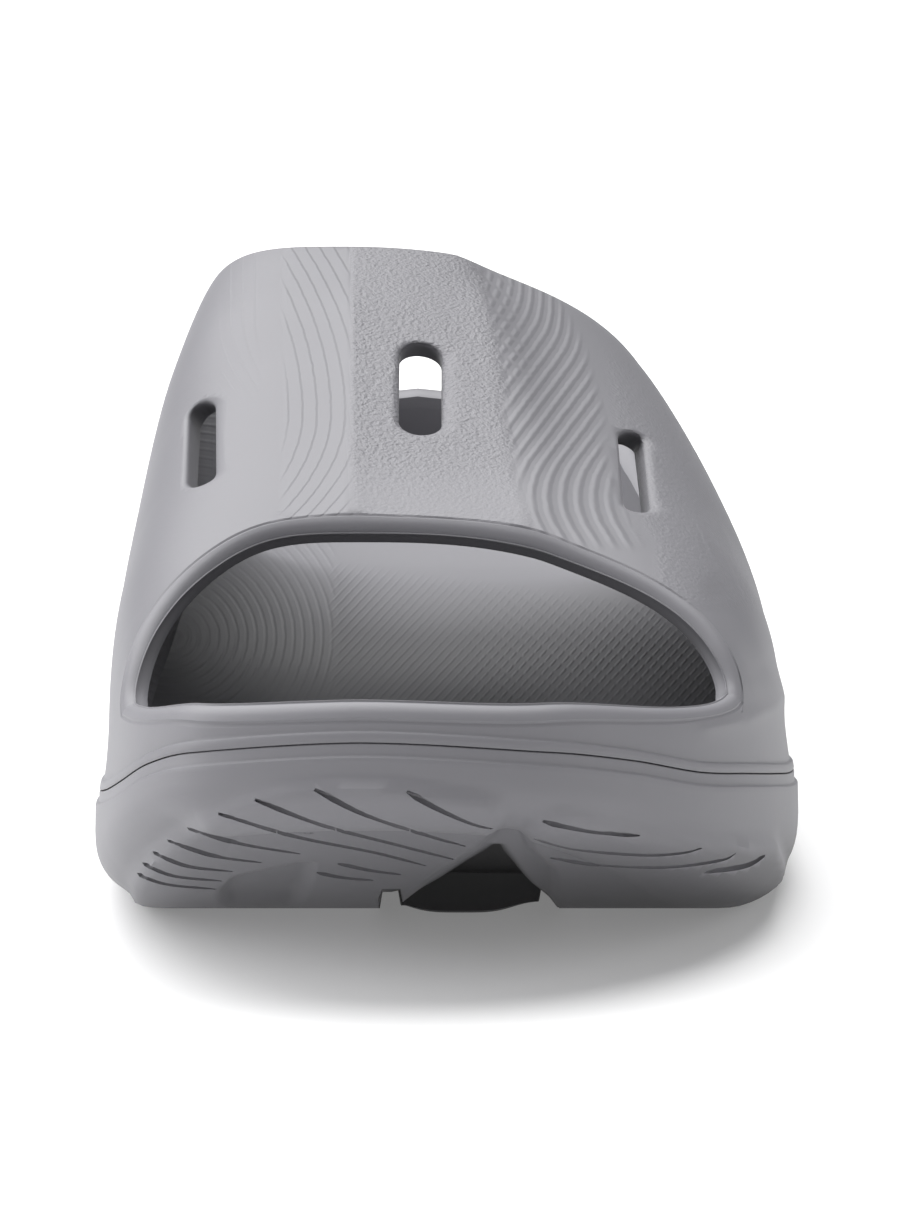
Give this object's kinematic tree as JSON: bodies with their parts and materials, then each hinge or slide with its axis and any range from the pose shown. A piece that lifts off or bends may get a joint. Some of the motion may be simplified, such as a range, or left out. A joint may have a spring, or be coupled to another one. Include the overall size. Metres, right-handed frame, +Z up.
{
  "type": "sport slide sandal",
  "caption": "Left sport slide in moulded foam: a broad one-piece strap with air slots grows out of a rimmed footbed, bonded to a rocker sole.",
  "frame": {"origin": "on the floor, under the middle of the length and of the ball width", "axes": "-Y to the toe, +Y to the heel, +X to the outer (lateral) side of the foot, +Z up"},
  "size_m": [0.1127, 0.292, 0.0951],
  "materials": {
    "upper_foam": "matte moulded foam",
    "sole_foam": "matte moulded foam"
  },
  "bodies": {
    "root": {"upper": "upper_foam", "sole": "sole_foam"}
  },
  "joints": []
}
